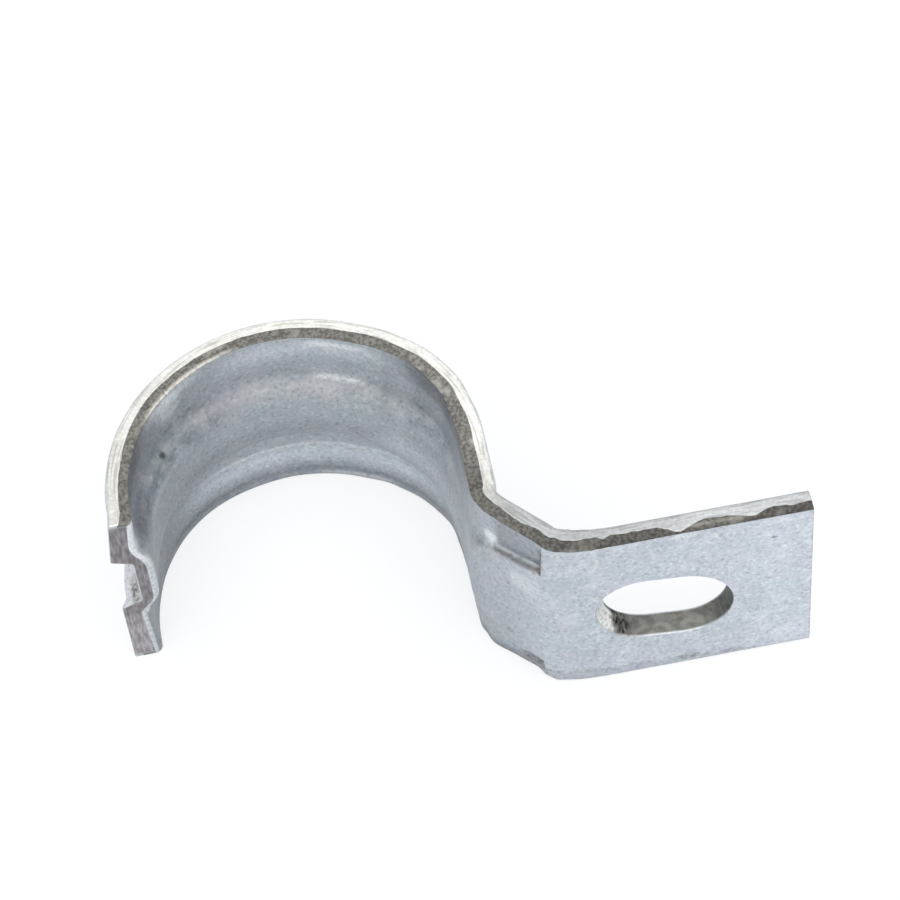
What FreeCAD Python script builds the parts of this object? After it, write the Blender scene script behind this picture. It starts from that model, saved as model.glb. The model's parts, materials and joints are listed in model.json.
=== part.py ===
import FreeCAD, Part
import math
import os
from collections import namedtuple

# One-hole strap for 3/4 in rigid conduit, blanked and pressed from one strip of galvanised steel.
#
# Frame: the conduit's axis is the Z axis, with the origin on it half-way along the strap's width.
# +X points along the foot to its cut end, +Y away from the wall that the strap is fixed to. The
# strap stands on its lower side edge, half its width below the origin. All lengths are in mm.
#
# The strip is followed from its free end, over the hoop and down to the foot. Its seat line is the
# surface that touches the conduit in the hoop, and that lies on the wall in the foot. A section is
# drawn in (depth, height): depth is measured from the seat line towards the outer side, height
# along the conduit from the middle of the strip.

# conduit and strip
CONDUIT_RADIUS = 13.35
SEAT_CLEARANCE = 0.20
SHEET = 2.05
WIDTH = 22.2

# the strip's course, as seen along the conduit
FREE_LEG = 1.85                 # straight run below the conduit's axis on the open side
NECK_LEG = 4.45                 # the same on the foot's side
FOOT_DROP = 13.2                # conduit axis to the face that lies on the wall
FOOT_REACH = 43.9               # conduit axis to the foot's cut end
NECK_LEAN = 47.0                # slope of the neck to the wall, degrees
KNEE_RADIUS = 4.5               # seat line radius where the leg turns into the neck
ANKLE_RADIUS = 3.2              # seat line radius where the neck turns into the foot
ANKLE_TURN = 40.0               # the part of the lean taken up by that tight bend, degrees
HEEL_RADIUS = 35.0              # slack curve that takes up the rest before the foot is flat

# slot for a 5/16 in bolt, flared by the break-out on the wall side
SLOT_LENGTH = 11.2
SLOT_WIDTH = 8.0
SLOT_FLARE = 0.5
SLOT_STRAIGHT = 1.0             # depth of the clean-cut part, from the back
SLOT_FROM_AXIS = 30.2

# the sheared side edges: turned-over outer corner, clean-cut land, broken and slanted inner part
TURN_WIDTH = 0.30
TURN_DEPTH = 0.20
EDGE_LAND = 0.55                # share of the sheet, from its outer side, that is cut clean
BREAK_SLANT = 0.22
END_ROLL = 0.45                 # rounded inner edge of the free end

# beyond the neck the side edges still fall back from the wall a little, and level out on the foot
ANKLE_FALL = 0.35
ANKLE_CREASE = 8.6              # half-width of the part that is flat on the wall
HEEL_FALL = 0.22
HEEL_CREASE = 9.6
LEVEL_CREASE = 10.6
LEVELLING = 9.0                 # length of foot over which the fall runs out

SEAT_RADIUS = CONDUIT_RADIUS + SEAT_CLEARANCE
HALF_WIDTH = WIDTH / 2
TOUCHING = 1e-4
UP = FreeCAD.Vector(0, 0, 1)

# A ribbed section. The side bands stand back from the middle band by `step` on the seat side and
# by `relief` on the outer side, and each leans out by a further `bow` towards the groove. The rest
# are half-widths about the middle of the strip.
Ribbed = namedtuple("Ribbed", "step relief bow crest root floor shoulder")
TIP = Ribbed(step=1.40, relief=1.40, bow=0.60, crest=3.3, root=4.8, floor=3.1, shoulder=3.9)
HOOP = Ribbed(step=1.40, relief=1.40, bow=0.28, crest=3.3, root=4.8, floor=3.1, shoulder=3.9)
KNEE = Ribbed(step=0.75, relief=0.75, bow=0.08, crest=5.6, root=6.5, floor=4.2, shoulder=5.4)
ANKLE = Ribbed(step=0.70, relief=0.35, bow=0.02, crest=6.8, root=7.4, floor=5.6, shoulder=7.0)
CREST_RADIUS = 1.6
ROOT_RADIUS = 0.9
SHOULDER_RADIUS = 0.7
SHARP = 0
BEND_STATIONS = 5

# A place on the seat line: a point in the plan view, and the heading of the strip there in degrees.
Station = namedtuple("Station", "x y heading")


def heading_vector(degrees):
    return FreeCAD.Vector(math.cos(math.radians(degrees)), math.sin(math.radians(degrees)), 0)


def outward(station):
    """Unit vector across the sheet, from the seat line to its outer side."""
    return heading_vector(station.heading + 90)


def ahead(station, length):
    step = heading_vector(station.heading) * length
    return Station(station.x + step.x, station.y + step.y, station.heading)


def turned(station, radius, degrees):
    """The station after a bend about a centre `radius` out from the seat line; negative is inside."""
    centre = FreeCAD.Vector(station.x, station.y, 0) + outward(station) * radius
    heading = station.heading + degrees
    point = centre - heading_vector(heading + 90) * radius
    return Station(point.x, point.y, heading)


def rounded_wire(corners):
    """A closed wire through (point, radius) corners, each rounded to its radius or left sharp."""
    arcs = []
    for index, (point, radius) in enumerate(corners):
        if radius == SHARP:
            arcs.append((point, None, point))
            continue
        back = (corners[index - 1][0] - point).normalize()
        on = (corners[(index + 1) % len(corners)][0] - point).normalize()
        half_angle = back.getAngle(on) / 2
        setback = radius / math.tan(half_angle)
        middle = (back + on).normalize() * (radius / math.sin(half_angle) - radius)
        arcs.append((point + back * setback, point + middle, point + on * setback))
    edges = []
    for index, (start, middle, end) in enumerate(arcs):
        edges.append(Part.LineSegment(arcs[index - 1][2], start).toShape())
        if middle:
            edges.append(Part.Arc(start, middle, end).toShape())
    return Part.Wire(edges)


def placed(outline, station):
    """The wire of a (depth, height, radius) outline, stood across the strip at a station."""
    foot = FreeCAD.Vector(station.x, station.y, 0)
    across = outward(station)
    return rounded_wire([(foot + across * depth + UP * height, radius)
                         for depth, height, radius in outline])


def side_edge(outer, inner):
    """The sheared edge between the outer side and the seat side, each given by its depth."""
    return [
        (outer, HALF_WIDTH - TURN_WIDTH, SHARP),
        (outer - TURN_DEPTH, HALF_WIDTH, SHARP),
        (outer - SHEET * EDGE_LAND, HALF_WIDTH, SHARP),
        (inner, HALF_WIDTH - BREAK_SLANT, SHARP),
    ]


def ribbed_half(*sizes):
    """The upper half of a ribbed section, from the groove's floor round to the rib's crest."""
    section = Ribbed(*sizes)
    outer = section.relief + SHEET
    groove = [(SHEET, section.floor, SHARP),
              (outer + section.bow, section.shoulder, SHOULDER_RADIUS)]
    rib = [(section.step + section.bow, section.root, ROOT_RADIUS),
           (0, section.crest, CREST_RADIUS)]
    return groove + side_edge(outer, section.step) + rib


def plain_half(fall, crease):
    """The upper half of a plain section whose edge falls back by `fall` beyond the crease."""
    return [(SHEET, crease, SHARP)] + side_edge(SHEET + fall, fall) + [(0, crease, SHARP)]


def mirrored(half):
    """A whole outline from its upper half, about the middle of the strip."""
    return half + [(depth, -height, radius) for depth, height, radius in reversed(half)]


def between(first, second, share):
    return [a + (b - a) * share for a, b in zip(first, second)]


def straight(wire, station, length):
    return Part.Face(wire).extrude(heading_vector(station.heading) * length)


def bend(wire, station, radius, degrees):
    centre = FreeCAD.Vector(station.x, station.y, 0) + outward(station) * radius
    return Part.Face(wire).revolve(centre, UP, degrees)


def changing_bend(half, first, second, station, radius, degrees):
    """A bend in which the section changes evenly from one set of sizes to another."""
    wires = []
    for index in range(BEND_STATIONS):
        share = index / (BEND_STATIONS - 1)
        outline = mirrored(half(*between(first, second, share)))
        wires.append(placed(outline, turned(station, radius, degrees * share)))
    return Part.makeLoft(wires, True, False)


def changing_run(half, first, second, station, length):
    """A straight run in which the section changes evenly from one set of sizes to another."""
    start = placed(mirrored(half(*first)), station)
    end = placed(mirrored(half(*second)), ahead(station, length))
    return Part.makeLoft([start, end], True, True)


def obround(length, width, y):
    """The slot's outline in the plane at y, with its long side along the foot."""
    reach = length / 2
    radius = width / 2
    centre = FreeCAD.Vector(SLOT_FROM_AXIS, y, 0)
    corners = [FreeCAD.Vector(x, 0, z) for x, z in
               ((-reach, radius), (reach, radius), (reach, -radius), (-reach, -radius))]
    # the ends are a hair short of half circles, so that the long sides keep their own edges
    return rounded_wire([(centre + corner, radius - TOUCHING) for corner in corners])


def slot_cutter():
    """The slot: clean-cut from the back, then flaring to the wall side."""
    back = -FOOT_DROP + SHEET
    flare_start = back - SLOT_STRAIGHT
    hole = Part.Face(obround(SLOT_LENGTH, SLOT_WIDTH, back + SHEET))
    through = hole.extrude(FreeCAD.Vector(0, -3 * SHEET, 0))
    # the flare is carried on past the face, to twice its depth, so that it cuts clean through
    flare_depth = SHEET - SLOT_STRAIGHT
    widening = 2 * 2 * SLOT_FLARE
    throat = obround(SLOT_LENGTH, SLOT_WIDTH, flare_start)
    mouth = obround(SLOT_LENGTH + widening, SLOT_WIDTH + widening, flare_start - 2 * flare_depth)
    return through.fuse(Part.makeLoft([throat, mouth], True, True))


def roll_free_end(shape):
    """Round the seat side edges of the cut at the free end."""
    inner_limit = -(SEAT_RADIUS + TIP.step + TIP.bow) - TURN_DEPTH
    rim = [edge for edge in shape.Edges
           if all(abs(vertex.Y + FREE_LEG) < TOUCHING for vertex in edge.Vertexes)
           and edge.BoundBox.XMin > inner_limit and edge.BoundBox.XMax < 0
           and edge.BoundBox.ZLength > BREAK_SLANT]
    return shape.makeFillet(END_ROLL, rim)


def strap():
    ribbed = mirrored(ribbed_half(*HOOP))
    ankle = (ANKLE_FALL, ANKLE_CREASE)
    heel = (HEEL_FALL, HEEL_CREASE)
    level = (0, LEVEL_CREASE)
    heel_turn = NECK_LEAN - ANKLE_TURN

    free_end = Station(-SEAT_RADIUS, -FREE_LEG, 90)
    hoop_start = ahead(free_end, FREE_LEG)
    leg_start = turned(hoop_start, -SEAT_RADIUS, -180)
    knee_start = ahead(leg_start, NECK_LEG)
    neck_start = turned(knee_start, KNEE_RADIUS, 90 - NECK_LEAN)

    # the neck is as long as it takes to bring the foot down to the wall
    lean = math.radians(NECK_LEAN)
    heel_lean = math.radians(heel_turn)
    ankle_drop = ANKLE_RADIUS * (math.cos(heel_lean) - math.cos(lean))
    heel_drop = HEEL_RADIUS * (1 - math.cos(heel_lean))
    neck_length = (FOOT_DROP + neck_start.y - ankle_drop - heel_drop) / math.sin(lean)
    ankle_start = ahead(neck_start, neck_length)
    heel_start = turned(ankle_start, ANKLE_RADIUS, ANKLE_TURN)
    foot_start = turned(heel_start, HEEL_RADIUS, heel_turn)
    level_start = ahead(foot_start, LEVELLING)

    pieces = [
        changing_run(ribbed_half, TIP, HOOP, free_end, FREE_LEG),
        bend(placed(ribbed, hoop_start), hoop_start, -SEAT_RADIUS, -180),
        straight(placed(ribbed, leg_start), leg_start, NECK_LEG),
        changing_bend(ribbed_half, HOOP, KNEE, knee_start, KNEE_RADIUS, 90 - NECK_LEAN),
        changing_run(ribbed_half, KNEE, ANKLE, neck_start, neck_length),
        changing_bend(plain_half, ankle, ankle, ankle_start, ANKLE_RADIUS, ANKLE_TURN),
        changing_bend(plain_half, ankle, heel, heel_start, HEEL_RADIUS, heel_turn),
        changing_run(plain_half, heel, level, foot_start, LEVELLING),
        straight(placed(mirrored(plain_half(*level)), level_start), level_start,
                 FOOT_REACH - level_start.x),
    ]
    whole = pieces[0].multiFuse(pieces[1:]).removeSplitter()
    return roll_free_end(whole).cut(slot_cutter())


os.makedirs("parts", exist_ok=True)
body = strap()
print("valid", body.isValid(), "solids", len(body.Solids), "faces", len(body.Faces),
      "volume", round(body.Volume, 1), body.BoundBox)
body.exportStep("parts/strap.step")
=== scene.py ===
import json
import math

import bmesh
import bpy
import numpy as np
from mathutils import Matrix, Vector, noise

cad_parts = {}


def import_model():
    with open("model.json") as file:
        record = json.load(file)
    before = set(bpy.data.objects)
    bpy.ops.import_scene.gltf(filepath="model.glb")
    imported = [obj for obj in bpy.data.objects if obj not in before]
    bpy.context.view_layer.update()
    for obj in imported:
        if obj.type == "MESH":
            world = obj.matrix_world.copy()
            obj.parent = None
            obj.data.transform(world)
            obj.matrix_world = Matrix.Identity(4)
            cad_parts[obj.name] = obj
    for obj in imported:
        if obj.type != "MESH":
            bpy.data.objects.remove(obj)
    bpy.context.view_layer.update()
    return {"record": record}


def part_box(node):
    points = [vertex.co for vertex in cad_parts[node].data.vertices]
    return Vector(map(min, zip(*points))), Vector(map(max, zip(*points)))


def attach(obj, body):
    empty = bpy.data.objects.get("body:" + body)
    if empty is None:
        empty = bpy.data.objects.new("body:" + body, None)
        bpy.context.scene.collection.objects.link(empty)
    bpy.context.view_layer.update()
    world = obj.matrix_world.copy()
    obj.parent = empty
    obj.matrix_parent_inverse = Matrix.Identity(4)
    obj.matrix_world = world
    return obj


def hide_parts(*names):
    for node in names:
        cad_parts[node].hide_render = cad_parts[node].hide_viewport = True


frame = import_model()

# A pressed conduit strap: the solid's own strip, followed along the same seat line, with the marks of
# its making and use: a rib that wandered in the press, a hoop that sprang out of round, torn edges,
# rolled ends, scuffs and dirt. Its colour also holds painted highlights and painted shade.
# Lengths are in mm until the mesh is written. A place on the strip has a run, along the seat line from
# the free end, a depth, from the seat line towards the outer side, and a height, along the conduit
# from the middle of the strip.

MM = 0.001

# ---------- sizes from the frame

record = frame["record"]
mounts = {mount["name"]: mount for mount in record["mounts"]}
SEAT_RADIUS = mounts["conduit_seat"]["dims"]["r_mm"]
FOOT_DROP = -mounts["mounting_face"]["pos_m"][1] / MM
strap_low, strap_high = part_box("strap")
HALF_WIDTH = (strap_high[2] - strap_low[2]) / 2 / MM
FOOT_REACH = strap_high[0] / MM

# ---------- sizes shared with the solid

SHEET = 2.05
FREE_LEG = 1.85
NECK_LEG = 4.45
NECK_LEAN = 47.0                # degrees, from the foot
KNEE_RADIUS = 4.5
ANKLE_RADIUS = 3.2
ANKLE_TURN = 40.0
HEEL_RADIUS = 35.0

# ---------- the course of the seat line


class Course:
    """The seat line in plan view, as stretches of constant curvature that follow one another."""

    def __init__(self, x, y, heading):
        self.starts = [(0.0, x, y, heading)]
        self.bends = []

    def add(self, length, turn=0.0):
        """Go on for a length, turning left by an angle in degrees. Returns the run at its end."""
        run = self.starts[-1][0] + length
        self.bends.append(math.radians(turn) / length)
        self.starts.append((run, *self.point_on(len(self.bends) - 1, run)))
        return run

    def point_on(self, index, run):
        """Position and heading at a run on one stretch."""
        start, x, y, heading = self.starts[index]
        bend = self.bends[index]
        length = run - start
        if bend == 0:
            return x + length * np.cos(heading), y + length * np.sin(heading), heading
        later = heading + bend * length
        return (x + (np.sin(later) - np.sin(heading)) / bend,
                y - (np.cos(later) - np.cos(heading)) / bend, later)

    def at(self, runs):
        """Positions and headings at an array of runs; runs past either end stay on its stretch."""
        x, y, heading = (np.zeros_like(runs) for _ in range(3))
        last = len(self.bends) - 1
        for index in range(last + 1):
            low = -np.inf if index == 0 else self.starts[index][0]
            high = np.inf if index == last else self.starts[index + 1][0]
            here = (runs >= low) & (runs < high)
            x[here], y[here], heading[here] = self.point_on(index, runs[here])
        return x, y, heading


course = Course(-SEAT_RADIUS, -FREE_LEG, math.radians(90))
HOOP_START = course.add(FREE_LEG)
HOOP_END = course.add(math.pi * SEAT_RADIUS, -180)
KNEE_START = course.add(NECK_LEG)
NECK_START = course.add(KNEE_RADIUS * math.radians(90 - NECK_LEAN), 90 - NECK_LEAN)
neck_lean, heel_lean = math.radians(NECK_LEAN), math.radians(NECK_LEAN - ANKLE_TURN)
neck_drop = (FOOT_DROP + course.starts[-1][2]
             - ANKLE_RADIUS * (math.cos(heel_lean) - math.cos(neck_lean))
             - HEEL_RADIUS * (1 - math.cos(heel_lean)))
ANKLE_START = course.add(neck_drop / math.sin(neck_lean))
HEEL_START = course.add(ANKLE_RADIUS * math.radians(ANKLE_TURN), ANKLE_TURN)
FOOT_START = course.add(HEEL_RADIUS * heel_lean, NECK_LEAN - ANKLE_TURN)
FOOT_START_X = course.starts[-1][1]
FOOT_END = course.add(FOOT_REACH - FOOT_START_X)
HOOP_MIDDLE = (HOOP_START + HOOP_END) / 2


def foot_run(x):
    """The run at which the foot passes a given x."""
    return FOOT_START + x - FOOT_START_X


def hoop_run(degrees):
    """The run of the place on the hoop at an angle about the conduit, from +X."""
    return HOOP_START + SEAT_RADIUS * math.radians(180 - degrees)


def eased(share):
    """A share from 0 to 1 with a smooth start and end, held at them beyond."""
    share = np.clip(share, 0, 1)
    return share * share * (3 - 2 * share)


def keyed(runs, *keys):
    """A value that passes smoothly through (run, value) keys."""
    result = np.full_like(runs, keys[0][1])
    for (start, value), (end, next_value) in zip(keys, keys[1:]):
        share = (runs - start) / (end - start)
        result = np.where(runs >= start, value + (next_value - value) * eased(share), result)
    return result


def wander(runs, scale, seed):
    """Smooth noise along the strip, about -1 to 1."""
    return np.array([noise.noise(Vector((run / scale, seed, 0.5))) for run in runs]) * 2


# ---------- the section's sizes along the strip

POCKET_END = ANKLE_START + 0.25
POCKET_STEP = 0.26              # run over which the pocket ends in its step

# Every size passes through (run, value) keys. First those that both halves share.
SHARED_KEYS = {
    # depths of the seat side: in the rib's root and on its crest
    "root_depth": [(0, 1.75), (1.5, 1.60), (33, 1.55), (39, 1.38), (43.5, 1.14), (48.5, 1.04),
                   (51, 0.92), (53, 0.74), (55.4, 0.66), (POCKET_END, 0.68),
                   (POCKET_END + POCKET_STEP, 0.01)],
    "crest_depth": [(0, 0.50), (5.5, 0.12), (10, 0), (34, 0), (42, 0.34), (46, 0.62),
                    (48.6, 0.62), (51, 0.28), (54, 0)],
    # depth of the outer side beyond the sheet, on the groove's shoulder
    "shoulder_depth": [(0, 2.08), (1.4, 1.62), (10, 1.52), (48.7, 1.50), (53.2, 0.86),
                       (57, 0.82), (58.6, 0.50), (60.5, 0.10), (62, 0)],
    # heights of the groove's floor and shoulder
    "floor": [(0, 3.1), (KNEE_START, 3.1), (NECK_START, 4.2), (ANKLE_START, 5.6)],
    "shoulder": [(0, 3.9), (KNEE_START, 3.9), (NECK_START, 5.4), (ANKLE_START, 7.0),
                 (HEEL_START, 8.6), (FOOT_START, 9.6), (foot_run(34), 10.5)],
}
# depth of the outer side beyond the sheet at the side edge, past the flared corner of the free end
BACK_FALL = [(1.6, 1.40), (48.7, 1.40), (51, 1.08), (53.2, 0.81), (57.5, 0.81), (60.1, 0.73),
             (61.4, 0.50), (62.3, 0.30), (64.2, 0.10), (65.5, 0.02), (FOOT_END, 0)]
# then those of each half: depths of the seat side ("rim") and the outer side ("back") at the side
# edge, and heights of the rib's crest and root
UPPER_KEYS = {
    "rim": [(0, 1.40), (33, 1.40), (38, 1.24), (43.5, 1.06), (48.5, 1.06), (51, 0.93), (53, 0.70),
            (55.4, 0.64), (57.4, 0.64), (POCKET_END, 0.57), (POCKET_END + POCKET_STEP, 0.50),
            (59.4, 0.40), (60.5, 0.27), (61.8, 0.10), (63.5, 0.02)],
    "back": [(0, 1.52), *BACK_FALL],
    "crest": [(0, 3.1), (30, 3.1), (38, 2.4), (45, 2.6), (49, 4.2), (53.4, 7.05),
              (ANKLE_START, 7.75)],
    "root": [(0, 5.0), (28, 5.2), (38, 6.6), (45, 7.4), (49, 7.3), (53.4, 7.5),
             (ANKLE_START, 8.2), (HEEL_START, 8.8), (FOOT_START, 9.6), (foot_run(34), 10.5)],
}
LOWER_KEYS = {
    "rim": [(0, 1.40), (39, 1.66), (43.5, 1.25), (48.5, 1.15), (51, 0.95), (53, 0.50),
            (55.4, 0.66), (57.4, 0.74), (58.8, 0.46), (60.2, 0.26), (foot_run(23), 0.12),
            (FOOT_END, 0.08)],
    "back": [(0, 2.02), *BACK_FALL],
    "crest": [(0, 3.1), (15, 3.1), (21, 2.4), (29, 2.2), (35, 3.0), (45, 2.6), (50, 4.0),
              (ANKLE_START, 6.6)],
    "root": [(0, 5.0), (15, 4.9), (21, 4.2), (29, 4.0), (35, 5.0), (45, 6.2), (50, 6.6),
             (ANKLE_START, 7.4), (HEEL_START, 8.6), (foot_run(20), 9.6), (foot_run(34), 10.4)],
}
SIDE_KEYS = {1: SHARED_KEYS | UPPER_KEYS, -1: SHARED_KEYS | LOWER_KEYS}
# how far the rib wandered off the strip's middle
RIB_DRIFT = [(0, 1.45), (HOOP_START + 8, 1.1), (HOOP_MIDDLE, 0.1), (HOOP_END, -0.9),
             (ANKLE_START, -0.9), (HEEL_START + 1, 0)]
GROOVE_SHARE = 0.3              # the groove's floor sinks by this share of the crest's own sinking

# how far the blends reach to either side of the section's corners
FLOOR_REACH = 0.30
OUTER_REACH = 0.32
BREAK_REACH = 0.05
RIM_REACH = 0.10
SHOULDER_REACH = [(0, 0.12), (1.2, 0.55), (9, 0.45)]
ROOT_REACH = {side: [(0, reach), (KNEE_START, reach), (ANKLE_START - 0.5, 0.10), (HEEL_START, 0.12)]
              for side, reach in ((1, 1.3), (-1, 0.35))}
CREST_REACH = {side: [(0, reach), (KNEE_START, 1.3), (NECK_START, 0.5), (ANKLE_START - 1, 0.12),
                      (HEEL_START, 0.3)]
               for side, reach in ((1, 1.5), (-1, 0.8))}

# the clean-cut land on the side edge, as a share of the sheet; its border wanders on the foot
LAND_SHARE = [(0, 0.56), (5.5, 0.60), (9, 0.55), (12, 0.52), (HOOP_MIDDLE, 0.56),
              (HOOP_END, 0.53), (NECK_START, 0.60), (HEEL_START, 0.62), (64.0, 0.58),
              (64.6, 0.76), (65.3, 0.56), (67, 0.50), (69.2, 0.46), (70.1, 0.60), (71.0, 0.80),
              (72, 0.66), (73, 0.57), (75.3, 0.62), (77.6, 0.70), (80, 0.57), (FOOT_END, 0.54)]
# its ragged line: scale, seed, reach on the hoop, and how much further it reaches past the knee
LAND_WANDERS = [(2.2, 3.1, 0.02, 0.07), (0.6, 7.7, 0.01, 0.02)]
ROUGHENING_RUN = 8.0            # run over which it gets rougher from the knee on
# how far the torn band leans in, up to the neck and on the foot
TORN_SLANT = {1: (0.22, 0.12), -1: (0.08, 0.04)}
SLANT_WANDER = (2.5, 12.3, 0.2)     # scale, seed and share
# on the lower half the crest's shoulder sinks that much less than its middle, before the knee
LOWER_CREST_TILT = [(38, 0), (43, 0.18), (48, 0.16), (51, 0)]


def side_values(runs, side):
    """The sizes of the section on the upper (side 1) or lower (side -1) half."""
    values = {name: keyed(runs, *keys) for name, keys in SIDE_KEYS[side].items()}
    drift = side * keyed(runs, *RIB_DRIFT)
    for name in ("crest", "root", "floor", "shoulder"):
        values[name] = values[name] + drift
    return values


def out_of_round(runs, side):
    """How far the hoop springs out from its circle on the upper (1) or lower (-1) edge, or midway (0)."""
    spring = keyed(runs, (0, -0.15), (hoop_run(165), -0.15), (hoop_run(150), -0.05),
                   (hoop_run(136), 0.02), (hoop_run(64), 0.06), (hoop_run(50), 0.30),
                   (hoop_run(38), 0.52), (hoop_run(26), 0.50), (hoop_run(14), 0.18), (HOOP_END, 0))
    flare = keyed(runs, (0, 0.05), (hoop_run(150), 0.10), (hoop_run(60), 0.06), (hoop_run(20), 0.02),
                  (HOOP_END, 0))
    # the lower edge is tucked in past the crown
    tuck = keyed(runs, (hoop_run(128), 0), (hoop_run(98), -0.30), (hoop_run(58), -0.33),
                 (hoop_run(36), -0.52), (hoop_run(16), -0.44), (HOOP_END + 1, -0.18), (NECK_START, 0))
    return spring + side * flare + (side < 0) * tuck


def land_share(runs, side):
    """The clean-cut land as a share of the sheet, with its ragged line."""
    rough = eased((runs - KNEE_START) / ROUGHENING_RUN)
    land = keyed(runs, *LAND_SHARE)
    for scale, seed, reach, more in LAND_WANDERS:
        land = land + wander(runs, scale, seed + side) * (reach + more * rough)
    return land


def torn_slant(runs, side):
    """How far the torn band leans in at its rim."""
    before, on_foot = TORN_SLANT[side]
    scale, seed, share = SLANT_WANDER
    slant = keyed(runs, (0, before), (NECK_START, before), (FOOT_START, on_foot))
    return slant * (1 + share * wander(runs, scale, seed + side))


# ---------- the slot's place

SLOT_MIDDLE = foot_run(30.2)
SLOT_RISE = -0.62               # height of the slot's middle
SLOT_LEAN = -0.13               # its long axis falls towards the cut end
BACK_SLOT = (5.80, 4.30)        # half-length and half-width on the outer side
FACE_SLOT = (6.33, 4.72)        # and on the face that lies on the wall
BACK_SHIFT = 0.42               # the outer rim lies further along the foot
LEAN_REACHED = foot_run(22.5)   # where the middle line has come down to the slot's axis


def middle_height(runs):
    """The height of the line where the two halves of the section meet."""
    leaning = SLOT_RISE + SLOT_LEAN * (runs - SLOT_MIDDLE)
    return leaning * eased((runs - ANKLE_START) / (LEAN_REACHED - ANKLE_START))


# ---------- stations along the strip

TIP_CELLS = 14                  # on a quarter of the slot's rim
STATION_GAP = 0.215
END_ZONE = 0.8                  # past it the stations have their usual gap; within it they are these
END_STEPS = np.array([0, 0.03, 0.08, 0.15, 0.24, 0.34, 0.45, 0.57, 0.68])
STEP_MARGIN = 0.15              # runs before and after the pocket's step that are drawn together too
STEP_STATIONS = 9


def slot_stations():
    """Runs that cut the slot's rim on the face into even steps, from tip to tip."""
    half_length, half_width = FACE_SLOT
    angles = np.linspace(0, math.pi / 2, TIP_CELLS + 1)
    left = SLOT_MIDDLE - half_length + half_width * (1 - np.cos(angles))
    right = 2 * SLOT_MIDDLE - left[::-1]
    middle = np.linspace(left[-1], right[0], round((right[0] - left[-1]) / STATION_GAP) + 1)
    return np.concatenate([left, middle[1:-1], right])


def spread(start, end):
    """Runs from start to end at the usual gap."""
    return np.linspace(start, end, round((end - start) / STATION_GAP) + 1)


step_runs = np.linspace(POCKET_END - STEP_MARGIN, POCKET_END + POCKET_STEP + STEP_MARGIN, STEP_STATIONS)
slot_runs = slot_stations()
RUNS = np.concatenate([
    END_STEPS,
    spread(END_ZONE, step_runs[0])[:-1],
    step_runs,
    spread(step_runs[-1], slot_runs[0])[1:-1],
    slot_runs,
    spread(slot_runs[-1], FOOT_END - END_ZONE)[1:],
    (FOOT_END - END_STEPS)[::-1],
])
FIRST_TIP = int(np.argmin(np.abs(RUNS - slot_runs[0])))
LAST_TIP = int(np.argmin(np.abs(RUNS - slot_runs[-1])))

# ---------- the section

# Cells in each stretch of half a section. It starts in the middle of the outer side, goes out to the
# side edge, over the edge, and back along the seat side, which has the outer side's stretches again.
MIDDLE_CELLS, CORNER_CELLS, FLANK_CELLS, RISE_CELLS, BAND_CELLS = 8, 4, 5, 5, 21
ROLL_CELLS, LAND_CELLS, BREAK_CELLS, FRACTURE_CELLS, RIM_CELLS = 4, 5, 2, 5, 2
OUT_CELLS = [MIDDLE_CELLS, CORNER_CELLS, FLANK_CELLS, RISE_CELLS, BAND_CELLS]
OVER_CELLS = [ROLL_CELLS, LAND_CELLS, BREAK_CELLS, FRACTURE_CELLS, RIM_CELLS]
SIDE_CELLS = sum(OUT_CELLS)
EDGE_CELLS = sum(OVER_CELLS)

# columns of points in half a section
BACK = slice(0, SIDE_CELLS + 1)
EDGE = slice(SIDE_CELLS, SIDE_CELLS + EDGE_CELLS + 1)
SEAT = slice(SIDE_CELLS + EDGE_CELLS, 2 * SIDE_CELLS + EDGE_CELLS + 1)
COLUMNS = np.arange(2 * SIDE_CELLS + EDGE_CELLS + 1)

STRAIGHT_SHARE = 0.49             # a blend takes no more than this share of a straight


def blended_line(corners, cells):
    """Points along a polyline whose inner corners are blended over a reach to either side.

    corners holds (depth, height, reach) with an array over the stations for each, and cells the
    number of cells in each straight and each blend by turns. Returns (stations, points, 2).
    """
    places = [np.stack([depth, height], axis=-1) for depth, height, _ in corners]
    reaches = [np.broadcast_to(reach, corners[0][0].shape)[:, None] for _, _, reach in corners]

    def towards(index, other):
        """The point that the blend at a corner reaches on its way to a neighbour."""
        way = places[other] - places[index]
        length = np.linalg.norm(way, axis=-1, keepdims=True)
        return places[index] + way * np.minimum(reaches[index] / length, STRAIGHT_SHARE)

    points = [places[0][:, None]]
    here = places[0]
    for index in range(1, len(corners)):
        before = towards(index, index - 1)
        share = np.linspace(0, 1, cells[2 * (index - 1)] + 1)[1:][None, :, None]
        points.append(here[:, None] + (before - here)[:, None] * share)
        if index == len(corners) - 1:
            break
        after = towards(index, index + 1)
        share = np.linspace(0, 1, cells[2 * index - 1] + 1)[1:][None, :, None]
        points.append(before[:, None] * (1 - share) ** 2
                      + places[index][:, None] * 2 * share * (1 - share)
                      + after[:, None] * share ** 2)
        here = after
    return np.concatenate(points, axis=1)


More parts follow.
